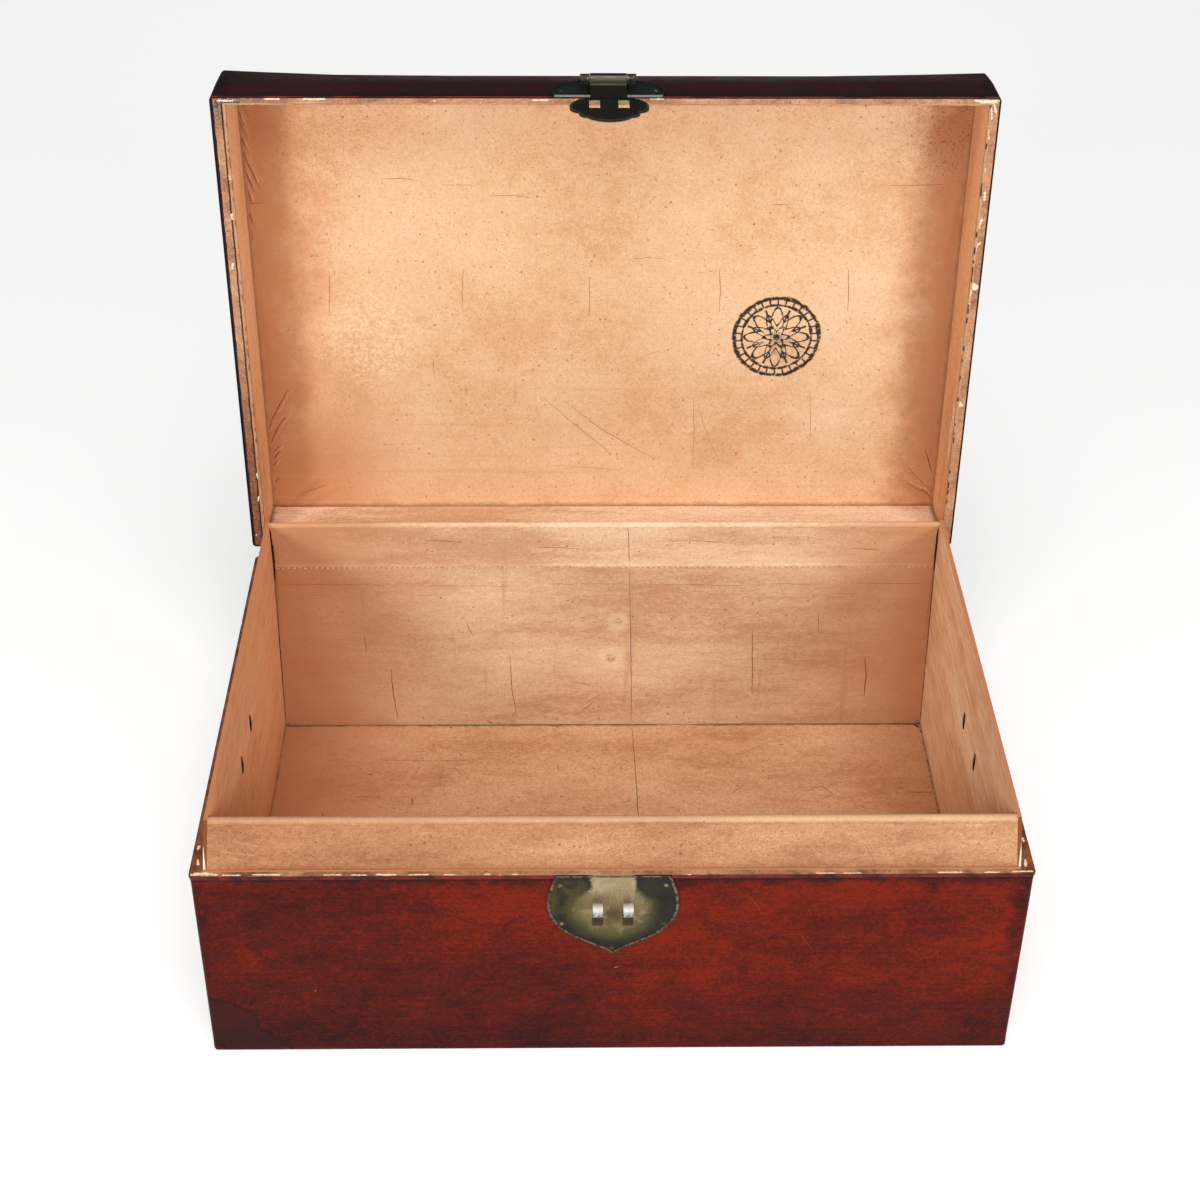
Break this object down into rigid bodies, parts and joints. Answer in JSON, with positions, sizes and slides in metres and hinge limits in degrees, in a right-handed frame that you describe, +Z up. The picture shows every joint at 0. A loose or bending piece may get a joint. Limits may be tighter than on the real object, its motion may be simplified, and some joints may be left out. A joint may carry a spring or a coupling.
{
  "type": "leather-covered storage trunk",
  "caption": "Low camphor-wood trunk covered in lacquered leather, with a lip that the hinged lid drops over, a lobed hasp on a shield lock plate and a drop handle at each end.",
  "frame": {"origin": "centre of the trunk's underside", "axes": "+X to the right seen from the front, front faces -Y, +Z up; the lid is drawn standing open"},
  "size_m": [0.7584, 0.6224, 0.7328],
  "materials": {
    "lacquered_leather": "aged red-brown lacquered leather, semi-gloss",
    "dark_leather": "dark lacquered leather, semi-gloss",
    "tan_leather": "undyed tan leather lining, matt",
    "camphor_wood": "bare camphor wood, matt",
    "old_brass": "dark patinated brass, worn in the middle",
    "dark_bronze": "nearly black patinated brass",
    "worn_steel": "worn white-metal strip",
    "brass_nail": "bright rubbed brass"
  },
  "bodies": {
    "base": {"base_floor_board": "camphor_wood", "base_front_board": "camphor_wood", "base_back_board": "camphor_wood", "base_left_board": "camphor_wood", "base_right_board": "camphor_wood", "base_leather_cover": "lacquered_leather", "base_bottom_leather": "dark_leather", "base_rim_binding": "dark_leather", "side_liner_left": "camphor_wood", "side_liner_right": "camphor_wood", "front_liner_board": "camphor_wood", "front_liner_leather": "tan_leather", "back_liner_board": "camphor_wood", "back_lip_leather": "tan_leather", "back_lining_left": "tan_leather", "back_lining_right": "tan_leather", "floor_lining_left": "tan_leather", "floor_lining_right": "tan_leather", "lock_plate": "old_brass", "lock_staple_left": "worn_steel", "lock_staple_right": "worn_steel", "lock_plate_nails": "brass_nail", "hinge_base_leaf_left": "old_brass", "hinge_base_leaf_right": "old_brass", "hinge_pin_left": "worn_steel", "hinge_pin_right": "worn_steel", "hinge_base_nails": "brass_nail", "handle_posts_left": "old_brass", "handle_posts_right": "old_brass", "handle_roses_left": "old_brass", "handle_roses_right": "old_brass"},
    "lid": {"lid_top_board": "camphor_wood", "lid_front_board": "camphor_wood", "lid_back_board": "camphor_wood", "lid_left_board": "camphor_wood", "lid_right_board": "camphor_wood", "lid_leather_cover": "dark_leather", "lid_rim_binding": "tan_leather", "lid_lining_panel": "tan_leather", "lid_lining_front": "tan_leather", "lid_lining_back": "tan_leather", "lid_lining_left": "tan_leather", "lid_lining_right": "tan_leather", "hinge_lid_leaf_left": "old_brass", "hinge_lid_leaf_right": "old_brass", "hinge_lid_nails": "brass_nail", "hasp_plate": "dark_bronze", "hasp_plate_nails": "brass_nail", "hasp_pin": "worn_steel"},
    "hasp": {"hasp": "dark_bronze"},
    "handle_left": {"handle_left": "old_brass"},
    "handle_right": {"handle_right": "old_brass"}
  },
  "joints": [
    {"name": "lid_hinge", "type": "hinge", "parent": "base", "child": "lid", "pos_m": [0, 0.254, 0.222], "axis": [1, 0, 0], "range_deg": [0, 92.5]},
    {"name": "hasp_hinge", "type": "hinge", "parent": "lid", "child": "hasp", "pos_m": [0, 0.30851, 0.7277], "axis": [-1, 0, 0], "range_deg": [0, 170]},
    {"name": "handle_left_swing", "type": "hinge", "parent": "base", "child": "handle_left", "pos_m": [-0.3752, -0.022, 0.186], "axis": [0, 1, 0], "range_deg": [0, 170]},
    {"name": "handle_right_swing", "type": "hinge", "parent": "base", "child": "handle_right", "pos_m": [0.3752, -0.022, 0.186], "axis": [0, -1, 0], "range_deg": [0, 170]}
  ]
}
